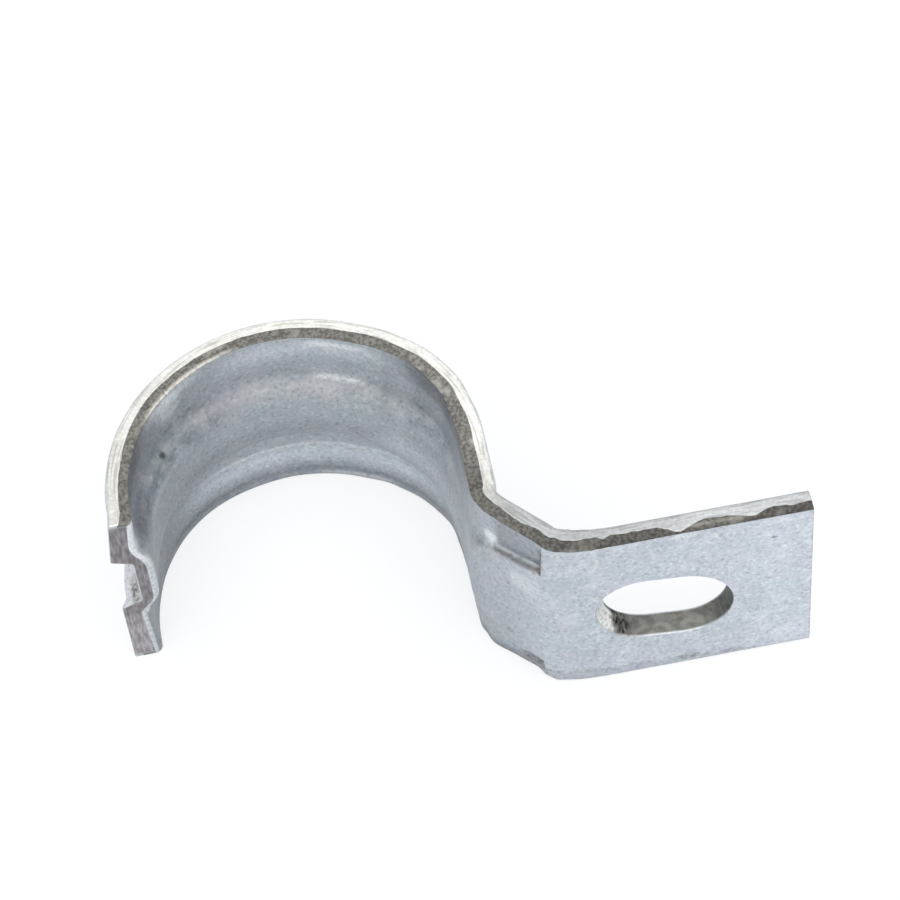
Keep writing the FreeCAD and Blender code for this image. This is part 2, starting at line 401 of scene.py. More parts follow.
def half_section(runs, side):
    """Depth and height of the points of half a section at every station: (stations, points, 2)."""
    value = side_values(runs, side)
    middle = middle_height(runs) * side
    edge = np.full_like(runs, HALF_WIDTH)
    outer = SHEET + value["back"]
    groove = SHEET + value["crest_depth"] * GROOVE_SHARE
    crest_tilt = (side < 0) * keyed(runs, *LOWER_CREST_TILT)
    corners = [
        (groove, middle, 0),
        (groove, value["floor"], FLOOR_REACH),
        (SHEET + value["shoulder_depth"], value["shoulder"], keyed(runs, *SHOULDER_REACH)),
        (outer, edge, OUTER_REACH),
        (outer - SHEET * land_share(runs, side), edge, BREAK_REACH),
        (value["rim"], edge - torn_slant(runs, side), RIM_REACH),
        (value["root_depth"], value["root"], keyed(runs, *ROOT_REACH[side])),
        (value["crest_depth"] - crest_tilt, value["crest"], keyed(runs, *CREST_REACH[side])),
        (value["crest_depth"], middle, 0),
    ]
    points = blended_line(corners, OUT_CELLS + OVER_CELLS + OUT_CELLS[::-1])
    height_share = np.clip(points[..., 1] / HALF_WIDTH, 0, 1)
    middle_spring = out_of_round(runs, 0)[:, None]
    edge_spring = out_of_round(runs, side)[:, None]
    points[..., 0] += middle_spring + (edge_spring - middle_spring) * height_share
    return points


# ---------- ends and slot

# radii of the rounded edges of both ends: on the seat side, on the outer side and at the side edges
FREE_ROUND = {"seat": 0.55, "back": 0.06, "edge": 0.10}
CUT_ROUND = {"seat": 0.10, "back": 0.12, "edge": 0.08}
LOWER_TAB_ROUND = 0.20          # more than that on the seat side of the free end's lower tab
LOWER_TAB_HEIGHT = 2.2          # where that begins, below the strip's middle
LOWER_TAB_FADE = 1.6            # and the height over which it comes up
END_SLANT = 0.5                 # the cut end is out of square by this much
END_SLANT_START = foot_run(37)  # run from which the stations turn to follow that cut
TIP_BLEND = 3.5                 # run past the slot's tips over which the stations straighten


def quarter(distance, radius):
    """How far a rounded edge has drawn back at a distance from the end."""
    inside = np.clip(1 - distance / radius, 0, 1)
    return radius * (1 - np.sqrt(1 - inside ** 2))


def end_pull(part, more=0.0):
    """How far the rounding of both ends draws back a part of the section, at every station."""
    from_free = RUNS[:, None]
    from_cut = FOOT_END - RUNS[:, None]
    return quarter(from_free, FREE_ROUND[part] + more) + quarter(from_cut, CUT_ROUND[part])


def obround(size):
    """Half-width, half the straight, a quarter turn and the whole rim of half an obround."""
    half_length, half_width = size
    flat = half_length - half_width
    quarter_length = half_width * math.pi / 2
    return half_width, flat, quarter_length, 2 * (quarter_length + flat)


def slot_rim(share, size):
    """Offset along the strip and height of a point on half an obround, from tip to tip."""
    half_width, flat, quarter_length, total = obround(size)
    place = share * total
    to_tip = np.minimum(place, total - place)
    angle = np.minimum(to_tip / half_width, math.pi / 2)
    along = np.clip(place - quarter_length, 0, 2 * flat) - flat
    sign = np.where(place < total / 2, -1, 1)
    return along + sign * half_width * np.cos(angle), half_width * np.sin(angle)


def rim_shares():
    """Where each station between the tips meets the rim on the face, as a share of its length."""
    half_width, flat, quarter_length, total = obround(FACE_SLOT)
    offset = RUNS[FIRST_TIP:LAST_TIP + 1] - SLOT_MIDDLE
    beyond = np.clip(np.abs(offset) - flat, 0, half_width)
    on_tip = half_width * (math.pi / 2 - np.arccos(beyond / half_width))
    place = np.where(np.abs(offset) < flat, quarter_length + offset + flat,
                     np.where(offset > 0, total - quarter_length + on_tip, quarter_length - on_tip))
    return place / total


def open_slot(runs, heights, size, shift, side):
    """Shift points of one side of the sheet, from middle to edge, so that the slot opens."""
    middle = (middle_height(RUNS) * side)[:, None]
    share = (heights - middle) / (HALF_WIDTH - middle)
    rim_run = RUNS.copy()
    rim_height = np.zeros_like(RUNS)
    offset, height = slot_rim(rim_shares(), size)
    rim_run[FIRST_TIP:LAST_TIP + 1] = SLOT_MIDDLE + shift + offset
    rim_height[FIRST_TIP:LAST_TIP + 1] = height
    first_shift, last_shift = (rim_run - RUNS)[[FIRST_TIP, LAST_TIP]]
    before = np.arange(len(RUNS)) < FIRST_TIP
    after = np.arange(len(RUNS)) > LAST_TIP
    rim_run[before] += first_shift * eased(1 - (RUNS[FIRST_TIP] - RUNS[before]) / TIP_BLEND)
    rim_run[after] += last_shift * eased(1 - (RUNS[after] - RUNS[LAST_TIP]) / TIP_BLEND)
    new_runs = runs + (rim_run - RUNS)[:, None] * (1 - eased(share))
    new_heights = heights + rim_height[:, None] * (1 - share)
    return new_runs, new_heights


def shaped_half(side):
    """Run, depth and height of every point of one half, with the slot open and the ends rounded."""
    points = half_section(RUNS, side)
    depth, height = points[..., 0], points[..., 1]
    run = np.repeat(RUNS[:, None], depth.shape[1], axis=1)
    for part, size, shift in ((BACK, BACK_SLOT, BACK_SHIFT), (SEAT, FACE_SLOT, 0.0)):
        run[:, part], height[:, part] = open_slot(run[:, part], height[:, part], size, shift, side)

    # rounded ends: the seat side draws back most, the outer side and the edges a little
    seat_share = np.clip((COLUMNS - SIDE_CELLS) / EDGE_CELLS, 0, 1)
    lower_tab = (side < 0) * eased((height - LOWER_TAB_HEIGHT) / LOWER_TAB_FADE)
    depth = depth + end_pull("seat", LOWER_TAB_ROUND * lower_tab) * seat_share
    depth = depth - end_pull("back") * (1 - seat_share)
    middle = (middle_height(RUNS) * side)[:, None]
    edge_share = np.clip((height - middle) / (HALF_WIDTH - middle), 0, 1)
    height = height - end_pull("edge") * edge_share
    return run, depth, height * side


def placed(run, depth, height):
    """Strip coordinates to the frame's, in mm, with the foot's end cut out of square."""
    slant = END_SLANT * (height + HALF_WIDTH) / (2 * HALF_WIDTH)
    run = run - slant * np.clip((run - END_SLANT_START) / (FOOT_END - END_SLANT_START), 0, 1)
    x, y, heading = course.at(run)
    across = heading + math.pi / 2
    return np.stack([x + depth * np.cos(across), y + depth * np.sin(across), height], axis=-1)


# ---------- weathering, painted highlights and painted shade

# soft round marks: strength, (run, height) of the middle, (half-length, half-height)
# painted light that lifts the shade on the rib's upper flank at two places, and a dark pit
TONE_SPOTS = [
    (0.15, (14.1, 4.4), (3.5, 1.6)),
    (0.22, (38.5, 3.5), (6, 2.0)),
    (-0.45, (10.7, 5.2), (0.42, 0.50)),
]
# painted highlights: by the hoop's upper rim, on the upper pocket's shoulder, below the pocket, and on the
# foot's upper edge
SHINE_SPOTS = [
    (0.45, (13.0, 8.8), (1.9, 2.0)),
    (0.95, (53.0, 7.45), (1.0, 1.1)),
    (0.45, (57.0, 4.0), (2.2, 1.9)),
    (0.70, (71.7, 10.6), (1.4, 0.5)),
]
# dark pits and spots; the sixth is painted shade in the lower pocket near the neck, and the last darkens
# the foot's lower edge
SOOT_AND_SHADE_SPOTS = [
    (0.90, (10.7, 5.2), (0.40, 0.45)),
    (0.50, (32.6, -3.4), (0.50, 0.40)),
    (0.50, (55.0, -5.8), (0.50, 0.50)),
    (0.80, (79.8, 7.7), (0.32, 0.32)),
    (0.80, (81.0, 6.8), (0.32, 0.32)),
    (0.75, (57.2, -9.7), (2.0, 0.8)),
    (0.50, (foot_run(32.5), -9.9), (1.6, 0.5)),
]
# marks drawn out along the strip: strength, height of the middle, half-height, the runs where they
# begin and end, and the run over which they fade
# bands of painted light and painted shade along the inside of the hoop
TONE_STREAKS = [
    (0.35, -7.4, 2.2, 14, 38, 8),
    (-0.18, -9.9, 0.7, 10, 38, 5),
    (0.22, 9.2, 2.2, 19, 33, 4),
    (-0.12, -1.2, 2.0, 11, 32, 4),
    (0.12, -1.5, 2.5, 32, 44, 4),
]
# painted highlights: glints at the crown and by the upper rim, a light line by the lower rim and one on
# the lower margin below the rib
SHINE_STREAKS = [
    (0.75, 5.1, 0.55, 26.5, 30.5, 1.5),
    (0.80, 9.9, 0.70, 26, 30.5, 2),
    (0.55, -10.6, 0.45, 26, 32, 3),
    (0.45, -6.0, 0.45, 16, 33, 4),
]
# how pale the seat side is along the strip: painted shade darkens it inside the hoop and eases off through
# the neck and along the foot, which is palest at its end
SEAT_TONE = [(0, 0.56), (8, 0.58), (14, 0.64), (20, 0.71), (30, 0.73), (40, 0.71), (46, 0.69),
             (50, 0.73), (54, 0.81), (60, 0.96), (66, 0.99), (74, 1.02), (FOOT_END, 1.10)]
# the land is whitest on the hoop, and the torn band is palest there and dark on the foot
LAND_TONE = [(0, 0.80), (12, 0.92), (20, 1.0), (43, 1.0), (48, 0.84), (51.5, 0.62), (62, 0.60),
             (69, 0.62), (73, 0.75), (FOOT_END, 0.68)]
TORN_TONE = [(0, 1.05), (3, 1.1), (8, 1.3), (14, 1.0), (30, 0.95), (36, 1.3), (44, 1.35), (49, 0.95),
             (54, 0.85), (62, 0.62), (70, 0.66), (74, 0.85), (78, 0.62)]
POCKET_START = 53.6             # run from which the upper pocket shows its floor
TAB_TOP = -4.2                  # the free end's lower tab lies below this height


def past(values, start, fade):
    """1 beyond a start, coming up about it."""
    return eased((values - start) / fade + 0.5)


def window(values, low, high, fade):
    """1 between low and high, fading out about them."""
    return past(values, low, fade) * past(-values, -high, fade)


def hill(values, middle, reach):
    """1 at the middle, falling to 0 at its reach to either side."""
    return eased(1 - np.abs(values - middle) / reach)


def spots(run, height, marks):
    """The sum of soft round marks."""
    total = 0
    for strength, place, size in marks:
        away = ((run - place[0]) / size[0]) ** 2 + ((height - place[1]) / size[1]) ** 2
        total = total + strength * eased(1 - away)
    return total


def streaks(run, height, marks):
    """The sum of marks drawn out along the strip."""
    return sum(strength * hill(height, middle, reach) * window(run, start, end, fade)
               for strength, middle, reach, start, end, fade in marks)


def ledge_height(run):
    """The line on which the upper pocket's floor meets the rib's flank."""
    return 6.35 + 0.155 * (run - POCKET_START)


def on_ledge(run):
    """1 where the upper pocket has its ledge."""
    return window(run, POCKET_START - 0.2, POCKET_END, 0.6)


def crease_drop(run):
    """How far below the middle the foot's lower edge starts to roll over."""
    return 9.3 + 0.07 * (run - foot_run(20))


def seat_tone(run, height):
    """How pale the metal is on the seat side, mostly painted light and painted shade."""
    tone = keyed(run, *SEAT_TONE) + spots(run, height, TONE_SPOTS) + streaks(run, height, TONE_STREAKS)
    # paler on the upper tab, and painted light on the rib's upper flank behind it, lifting the flank's
    # shade
    tone += 0.45 * eased((3.2 - run) / 2.6) * past(height, 4.6, 1.5)
    tone += 0.24 * window(run, 5, 13, 4) * window(height, 3.0, 6.4, 1.2)
    # painted shade in the rib's upper root, and on the upper margin near the free end and before the knee
    tone -= 0.12 * hill(height, 7.4 - 0.07 * run, 0.9) * window(run, 18, 34, 4)
    tone -= 0.12 * eased((height - 7.9) / 2.0) * eased((11.5 - run) / 5) * eased((run - 2) / 2)
    tone -= 0.16 * eased((height - 6.5) / 4.0) * window(run, 34, 49, 6)
    # painted shade in the upper pocket: on its floor, along its ledge and at the step at its end
    tone -= 0.22 * window(run, POCKET_START, POCKET_END, 1.0) * past(height, 7.0, 0.5)
    tone -= 0.48 * hill(height, ledge_height(run), 0.26) * on_ledge(run)
    tone -= 0.25 * hill(run, POCKET_END - 0.1, 0.5) * window(height, 7.0, 10.2, 0.5)
    # painted shade on the lower margin through the knee and the neck, and in the crease of the foot's
    # rolled edge
    tone -= 0.25 * eased((-height - 9.6) / 1.2) * window(run, 40, 58, 4)
    tone -= 0.12 * eased((-height - crease_drop(run)) / 0.3) * past(run, foot_run(17), 3)
    return tone


def highlights_and_nicks(run, height, depth, seat, torn):
    """Painted highlights and glints, with a bright nick and a pale stretch on the torn band."""
    shine = spots(run, height, SHINE_SPOTS) + streaks(run, height, SHINE_STREAKS)
    # painted highlight on the free end's rolled edge, a wide one on the upper tab and the rib, a thin one
    # on the lower tab
    shine += 0.60 * np.where(height > TAB_TOP, eased((0.95 - run) / 0.5), eased((0.16 - run) / 0.10))
    # a painted highlight along the hoop's first quarter, on the rim and on the torn band beside it
    highlight_arc = window(run, 10.5, 19.5, 3)
    shine += 0.65 * highlight_arc * eased((height - 8.6) / 1.6) * eased((19 - run) / 6)
    on_torn = 0.70 * highlight_arc * window(depth, 0, 1.80, 0.3)
    # a bright nick on the torn band, and a paler stretch of it on the foot
    on_torn += 0.55 * hill(run, 44.3, 0.7) * eased((depth - 1.8) / 0.4)
    on_torn += 0.22 * window(run, 71.5, 78, 1.5) * window(depth, 0.45, 0.75, 0.2)
    return np.clip(shine * seat + on_torn * torn, 0, 1)


def dirt_and_shade(run, height, depth, seat):
    """Where it is darker: dirt and pits, and painted shade in creases, recesses and along margins."""
    soot = spots(run, height, SOOT_AND_SHADE_SPOTS)
    # painted shade on the upper margin near the free end and before the knee
    soot += 0.70 * eased((height - 7.0) / 1.8) * eased((9.8 - run) / 2.5) * eased((run - 1.4) / 1.2)
    soot += 0.40 * past(height, 8.0, 1.6) * window(run, 35, 47, 4)
    # painted shade in the crease of the foot's lower edge
    soot += 0.50 * hill(-height, crease_drop(run), 0.30) * window(run, foot_run(17), foot_run(38), 2)
    # painted shade along the upper pocket's ledge and at the foot of its step
    soot += 0.35 * hill(height, ledge_height(run), 0.24) * on_ledge(run)
    soot += 1.10 * hill(run, POCKET_END + 0.12, 0.34) * window(height, 6.9, 9.9, 0.5)
    # darker on the seat side just before the foot's cut end
    soot += 0.45 * eased((run - FOOT_END + 0.16) / 0.1)
    # painted shade on the outer side, in the groove's lower flank behind the free end
    flank = eased((3.1 - depth) / 0.5) * window(run, -1, 2.6, 1.6) * window(height, -3, -1.75, 0.4)
    return np.clip(soot * seat + 0.85 * flank * (1 - seat), 0, 1)


def land_tone(run):
    """How pale the clean-cut land is."""
    return keyed(run, *LAND_TONE)


def torn_tone(run, depth):
    """How pale the torn band is; on the foot it darkens towards the wall."""
    return keyed(run, *TORN_TONE) * (1 - 0.3 * eased((0.35 - depth) / 0.2) * eased((run - 62) / 4))


# ---------- the mesh


class Builder:
    """Collects vertices and quads, with the masks that the finish is steered by."""

    MASKS = ("land", "fracture", "cut", "wall", "run", "height", "depth", "tone", "shine", "soot")

    def __init__(self):
        self.points = []
        self.faces = []
        self.masks = {name: [] for name in self.MASKS}
        self.count = 0

    def add(self, points, **masks):
        """Adds a grid of points and returns the grid of their numbers."""
        shape = points.shape[:-1]
        number = np.arange(self.count, self.count + math.prod(shape)).reshape(shape)
        self.count += number.size
        self.points.append(points.reshape(-1, 3))
        for name in self.MASKS:
            self.masks[name].append(np.broadcast_to(masks.get(name, 0.0), shape).reshape(-1))
        return number

    def quads(self, grid, flip=False):
        """Faces between neighbours of a grid of vertex numbers."""
        a, b, c, d = grid[:-1, :-1], grid[1:, :-1], grid[1:, 1:], grid[:-1, 1:]
        order = (a, d, c, b) if flip else (a, b, c, d)
        self.faces.append(np.stack([part.reshape(-1) for part in order], axis=-1))

    def mesh(self, name):
        """A mesh of all that was added, in metres, with the masks as attributes."""
        points = np.concatenate(self.points) * MM
        faces = np.concatenate(self.faces)
        mesh = bpy.data.meshes.new(name)
        mesh.from_pydata(points.tolist(), [], faces.tolist())
        for mask in self.MASKS:
            layer = mesh.attributes.new(mask, "FLOAT", "POINT")
            layer.data.foreach_set("value", np.concatenate(self.masks[mask]).astype(np.float32))
        return mesh


SEAT_FADE_CELLS = 3             # cells at the end of the edge over which the seat side's marks come up
WALL_CELLS = 10
# how the slot's wall widens on its way from the outer side to the face: share of depth, of widening
WALL_FLARE = np.array([(0, 0), (0.05, -0.06), (0.45, 0.02), (0.60, 0.30), (0.94, 0.86), (1, 1)])
CUT_TONE = 1.05
LOWER_TAB_TONE = 0.45           # the cut is that much paler on the lower tab
WELD_REACH = 1e-7               # metres
SHARP_ANGLE = 38


def build_half(build, side):
    """Adds the points of one half, without faces, and returns its strip coordinates and numbers."""
    run, depth, height = shaped_half(side)
    land_start = SIDE_CELLS + ROLL_CELLS - 1
    land_end = SIDE_CELLS + ROLL_CELLS + LAND_CELLS
    land = ((COLUMNS >= land_start) & (COLUMNS <= land_end))[None]
    torn = ((COLUMNS > land_end) & (COLUMNS < SIDE_CELLS + EDGE_CELLS))[None]
    seat = np.clip((COLUMNS - SIDE_CELLS - EDGE_CELLS) / SEAT_FADE_CELLS + 1, 0, 1)[None]
    tone = 1 + (seat_tone(run, height) - 1) * seat
    tone = np.where(land, land_tone(run), np.where(torn, torn_tone(run, depth), tone))
    points = placed(run, depth, height)
    number = build.add(points, run=run, height=height, depth=depth, land=land, fracture=torn, tone=tone,
                       shine=highlights_and_nicks(run, height, depth, seat, torn),
                       soot=dirt_and_shade(run, height, depth, seat))
    return {"run": run, "depth": depth, "height": height, "points": points, "number": number}


def slot_wall(build, half, side):
    """The wall of the slot on one half, from the outer side's rim to the face's rim."""
    stations = slice(FIRST_TIP, LAST_TIP + 1)
    share = np.linspace(0, 1, WALL_CELLS + 1)
    flare = np.interp(share, *WALL_FLARE.T)
    rim = {}
    for name, mix in (("run", flare), ("depth", share), ("height", flare)):
        back = half[name][stations, 0][:, None]
        face = half[name][stations, -1][:, None]
        rim[name] = back + (face - back) * mix[None]
    points = placed(rim["run"], rim["depth"], rim["height"])
    run, height, depth = (rim[name][:, 1:-1] for name in ("run", "height", "depth"))
    # at the end towards the neck: a bright patch, with dark streaks beside it and painted shade along the
    # outer side's rim
    along = run - SLOT_MIDDLE
    shine = window(along, -6.7, -4.6, 0.3) * window(height, -3.6, 1.6, 0.8)
    shine = shine * eased((1.75 - depth) / 0.3)
    soot = window(along, -4.55, -3.1, 0.4) * (height < -1.2)
    soot = soot + window(along, -7, -4.2, 0.5) * eased((depth - 1.6) / 0.25)
    number = np.empty(points.shape[:2], dtype=int)
    number[:, 0] = half["number"][stations, 0]
    number[:, -1] = half["number"][stations, -1]
    number[:, 1:-1] = build.add(points[:, 1:-1], wall=1.0, run=run, height=height, depth=depth,
                                tone=1.0, shine=shine, soot=soot)
    build.quads(number, flip=side > 0)


def end_face(build, half, station, side):
    """The cut face across the sheet at one end of the strip."""
    number = half["number"][station]
    points = half["points"][station]
    edge_depth = half["depth"][station, EDGE]
    edge_share = (edge_depth - edge_depth[0]) / (edge_depth[-1] - edge_depth[0])
    even_share = np.linspace(0, 1, EDGE_CELLS + 1)
    outward = np.linspace(0, 1, SIDE_CELLS + 1)[None, :, None]
    share = even_share[:, None, None] * (1 - outward) + edge_share[:, None, None] * outward
    back_points = points[BACK][None]
    inner = back_points + (points[SEAT][::-1] - back_points) * share
    inner = inner[1:-1, :-1]
    height = inner[..., 2]
    grid = np.empty((EDGE_CELLS + 1, SIDE_CELLS + 1), dtype=int)
    grid[0] = number[BACK]
    grid[-1] = number[SEAT][::-1]
    grid[:, -1] = number[EDGE]
    grid[1:-1, :-1] = build.add(inner, cut=1.0, run=RUNS[station], height=height,
                                tone=CUT_TONE + LOWER_TAB_TONE * eased((-height - 3.5) / 0.8))
    build.quads(grid, flip=(side > 0) == (station == 0))


def build_strap():
    """The whole strap: two halves that share their middle lines, the slot's wall and the ends."""
    build = Builder()
    halves = {side: build_half(build, side) for side in (1, -1)}
    upper, lower = halves[1]["number"], halves[-1]["number"]
    for column in (0, -1):
        lower[:FIRST_TIP + 1, column] = upper[:FIRST_TIP + 1, column]
        lower[LAST_TIP:, column] = upper[LAST_TIP:, column]
    build.quads(upper)
    build.quads(lower, flip=True)
    for side, half in halves.items():
        slot_wall(build, half, side)
        for station in (0, -1):
            end_face(build, half, station, side)
    return build


def weld(mesh):
    """Join the points that two halves or two grids share, and drop those without faces."""
    work = bmesh.new()
    work.from_mesh(mesh)
    bmesh.ops.remove_doubles(work, verts=work.verts, dist=WELD_REACH)
    bmesh.ops.recalc_face_normals(work, faces=work.faces)
    loose = [vertex for vertex in work.verts if not vertex.link_faces]
    bmesh.ops.delete(work, geom=loose, context="VERTS")
    work.to_mesh(mesh)
    work.free()


strap_mesh = build_strap().mesh("strap_pressed")
strap = bpy.data.objects.new("strap_pressed", strap_mesh)
bpy.context.scene.collection.objects.link(strap)
weld(strap_mesh)
strap_mesh.shade_smooth()
strap_mesh.set_sharp_from_angle(angle=math.radians(SHARP_ANGLE))

# ---------- finish


class Shading:
    """Short words for building a material's nodes."""

    def __init__(self, name):
        self.material = bpy.data.materials.new(name)
        self.material.use_nodes = True
        self.tree = self.material.node_tree
        self.shader = self.tree.nodes["Principled BSDF"]
        place = self.tree.nodes.new("ShaderNodeTexCoord").outputs["Object"]
        self.place = self.node("VectorMath", {0: place, "Scale": 1 / MM}, operation="SCALE").outputs[0]

    def node(self, kind, inputs, **settings):
        """A new node with its inputs set to values or linked to other nodes' sockets."""
        node = self.tree.nodes.new("ShaderNode" + kind)
        for name, value in settings.items():
            setattr(node, name, value)
        for socket, value in inputs.items():
            if isinstance(value, bpy.types.NodeSocket):
                self.tree.links.new(value, node.inputs[socket])
            else:
                node.inputs[socket].default_value = value
        return node

    def vector(self, operation, value, factor):
        """A vector moved or scaled along each axis."""
        return self.node("VectorMath", {0: value, 1: factor}, operation=operation).outputs[0]

    def math(self, operation, first, second, clamp=False):
        """A sum or product of two numbers."""
        return self.node("Math", {0: first, 1: second}, operation=operation, use_clamp=clamp).outputs[0]

    def mask(self, name):
        """One of the mesh's own masks."""
        return self.node("Attribute", {}, attribute_name=name).outputs["Fac"]

    def noise(self, size, detail, stretch=None, shift=0.0):
        """Noise about 0 to 1 whose features are a size in mm."""
        place = self.place
        if stretch:
            place = self.vector("MULTIPLY", place, stretch)
        if shift:
            place = self.vector("ADD", place, (shift, shift, shift))
        return self.node("TexNoise", {"Vector": place, "Scale": 1 / size, "Detail": detail}).outputs["Fac"]

    def streaks(self, density):
        """Noise drawn out along the strip; density is features per mm of run, height and depth."""
        strip = {0: self.mask("run"), 1: self.mask("height"), 2: self.mask("depth")}
        place = self.vector("MULTIPLY", self.node("CombineXYZ", strip).outputs[0], density)
        return self.node("TexNoise", {"Vector": place, "Scale": 1.0, "Detail": 3.0}).outputs["Fac"]

    def span(self, value, low, high, bottom=0.0, top=1.0):
        """A value mapped smoothly from low..high to bottom..top and held there."""
        inputs = {"Value": value, "From Min": low, "From Max": high, "To Min": bottom, "To Max": top}
        return self.node("MapRange", inputs, interpolation_type="SMOOTHSTEP").outputs["Result"]

    def mix(self, share, first, second, blend="MIX"):
        """Colours mixed by a share."""
        first, second = (self.colour(value) for value in (first, second))
        inputs = {0: share, 6: first, 7: second}
        return self.node("Mix", inputs, data_type="RGBA", blend_type=blend).outputs[2]

    def times(self, first, second):
        """Colours multiplied."""
        return self.mix(1.0, first, second, "MULTIPLY")

    @staticmethod
    def colour(value):
        """A colour socket as it is, or a colour with its opacity."""
        return value if isinstance(value, bpy.types.NodeSocket) else (*value, 1.0)


def plating(s, grain, blotch):
    """Passivated zinc: cool grey in clouds, with drawn lines, bright and dark grain, and specks."""
    cloud = s.noise(6.0, 2.0)
    green = s.noise(3.0, 2.0, shift=71.0)
    violet = s.noise(2.2, 2.0, shift=91.0)
    drawn = s.streaks((0.25, 4.0, 0.0))
    speck = s.noise(0.16, 1.0, shift=47.0)
    zinc = s.mix(s.span(cloud, 0.35, 0.65), (0.52, 0.55, 0.585), (0.575, 0.59, 0.635))
    zinc = s.mix(s.span(green, 0.50, 0.70, 0.0, 0.7), zinc, (0.49, 0.57, 0.57))
    zinc = s.mix(s.span(violet, 0.50, 0.70, 0.0, 0.6), zinc, (0.57, 0.56, 0.62))
    zinc = s.mix(s.span(blotch, 0.40, 0.75), zinc, (0.655, 0.67, 0.685))
    zinc = s.mix(s.span(drawn, 0.50, 0.70, 0.0, 0.25), zinc, (0.41, 0.43, 0.465))
    zinc = s.mix(s.span(grain, 0.52, 0.78, 0.0, 0.75), zinc, (0.80, 0.83, 0.85))
    zinc = s.mix(s.span(grain, 0.48, 0.24, 0.0, 0.65), zinc, (0.28, 0.31, 0.34))
    return s.mix(s.span(speck, 0.30, 0.22, 0.0, 0.4), zinc, (0.22, 0.24, 0.25))


def clean_cut(s, grain):
    """The bright land that the shears cut clean, with fine lines along it."""
    lines = s.streaks((0.30, 0.0, 5.0))
    bright = s.mix(s.span(grain, 0.35, 0.65), (0.74, 0.74, 0.69), (0.86, 0.86, 0.84))
    return s.mix(s.span(lines, 0.48, 0.64, 0.0, 0.6), bright, (0.42, 0.42, 0.38))


def torn_metal(s):
    """The dark torn band, with a few paler patches."""
    fine = s.noise(0.3, 4.0, shift=3.0)
    patch = s.noise(3.0, 2.0, shift=17.0)
    torn = s.mix(s.span(fine, 0.38, 0.64), (0.10, 0.096, 0.088), (0.19, 0.185, 0.17))
    return s.mix(s.span(patch, 0.58, 0.70, 0.0, 0.35), torn, (0.45, 0.44, 0.41))


def end_cut(s):
    """The cut faces at both ends, with marks drawn out along their width."""
    drawn = s.noise(0.5, 3.0, stretch=(1.6, 1.6, 0.35))
    return s.mix(s.span(drawn, 0.35, 0.65), (0.19, 0.175, 0.18), (0.32, 0.30, 0.31))


def slot_metal(s, shine, soot):
    """The slot's wall, with its bright patch and near-black streaks: dark marks beside the patch, and
    painted shade along the outer rim.
    """
    fine = s.noise(0.8, 3.0, stretch=(1.0, 1.0, 3.0))
    streak = s.noise(0.5, 2.0, stretch=(2.0, 0.6, 0.6))
    wall = s.mix(s.span(fine, 0.35, 0.65), (0.145, 0.145, 0.132), (0.22, 0.22, 0.205))
    wall = s.mix(shine, wall, (0.90, 0.90, 0.88))
    return s.mix(s.math("MULTIPLY", soot, s.span(streak, 0.45, 0.55)), wall, (0.02, 0.02, 0.02))


def zinc_material():
    """Zinc-plated pressed steel: mottled grey, with bright sheared lands and dark torn bands."""
    s = Shading("galvanised_steel")
    blotch = s.noise(1.5, 4.0, shift=11.0)
    grain = s.noise(0.34, 3.0, shift=31.0)
    shine = s.math("MULTIPLY", s.mask("shine"), s.span(grain, 0.36, 0.56, 0.6, 1.0))
    soot = s.math("MULTIPLY", s.mask("soot"), s.span(grain, 0.60, 0.40, 0.5, 1.0))
    tone = s.mask("tone")
    toned = s.node("CombineColor", {0: tone, 1: tone, 2: tone}).outputs[0]

    # painted light and shade come in through the tone; painted highlights, and a bright nick on the torn
    # band, mix in pale; dirt, pits and painted shade mix in near-black
    zinc = s.mix(shine, s.times(plating(s, grain, blotch), toned), (0.86, 0.87, 0.86))
    zinc = s.mix(soot, zinc, (0.112, 0.10, 0.092))
    torn = s.mix(shine, s.times(torn_metal(s), toned), (0.60, 0.59, 0.54))
    bright = s.times(clean_cut(s, grain), toned)
    # past the knee the land is a little cooler
    bright = s.mix(s.span(s.mask("run"), 49.0, 56.0), bright, s.times(bright, (0.94, 0.96, 1.02)))

    land, fracture, cut, wall = (s.mask(name) for name in ("land", "fracture", "cut", "wall"))
    base = s.mix(land, zinc, bright)
    base = s.mix(fracture, base, torn)
    base = s.mix(cut, base, s.times(end_cut(s), toned))
    base = s.mix(wall, base, slot_metal(s, shine, soot))

    cut_faces = s.math("ADD", fracture, s.math("ADD", cut, wall), clamp=True)
    plated_rough = s.span(blotch, 0.3, 0.7, 0.34, 0.50)
    rough = s.node("Mix", {0: cut_faces, 2: plated_rough, 3: 0.55}, data_type="FLOAT").outputs[0]
    fine = s.node("Bump", {"Height": grain, "Distance": 0.012 * MM, "Strength": 1.0})
    coarse = s.node("Bump", {"Height": s.noise(1.1, 3.0, shift=23.0), "Distance": 0.05 * MM,
                             "Strength": 1.0, "Normal": fine.outputs[0]})
    s.tree.links.new(base, s.shader.inputs["Base Color"])
    s.tree.links.new(rough, s.shader.inputs["Roughness"])
    s.tree.links.new(coarse.outputs[0], s.shader.inputs["Normal"])
    s.shader.inputs["Metallic"].default_value = 1.0
    return s.material


strap_mesh.materials.append(zinc_material())
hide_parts("strap")
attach(strap, "root")

# ---------- floor, light and camera

# in metres
FLOOR_LEVEL = strap_low[2]
FLOOR_SIZE = 3
WHITE = (1, 1, 1, 1)
PAPER = (0.86, 0.90, 0.94, 1)
PAPER_GLOW = 1.06
PAPER_SEEN = 0.68               # share of that glow that the camera sees, and that gloss reflects
PAPER_REFLECTED = 0.10
SKY_STRENGTH = 0.58
LAMP_PLACE = (0.0, -0.35, 1.2)
LAMP_TARGET = (0.012, 0, 0)
LAMP_SIZE = 1.8
LAMP_POWER = 15.5               # watts
CAMERA_AZIMUTH = -6.4495        # degrees
CAMERA_ELEVATION = 55.8743
CAMERA_ROLL = -5.0445
CAMERA_DISTANCE = 0.30665
CAMERA_TARGET = (0.014712, 0.008595, -0.00218)
SENSOR_WIDTH = 36               # mm
FOCAL_LENGTH = 131.9812


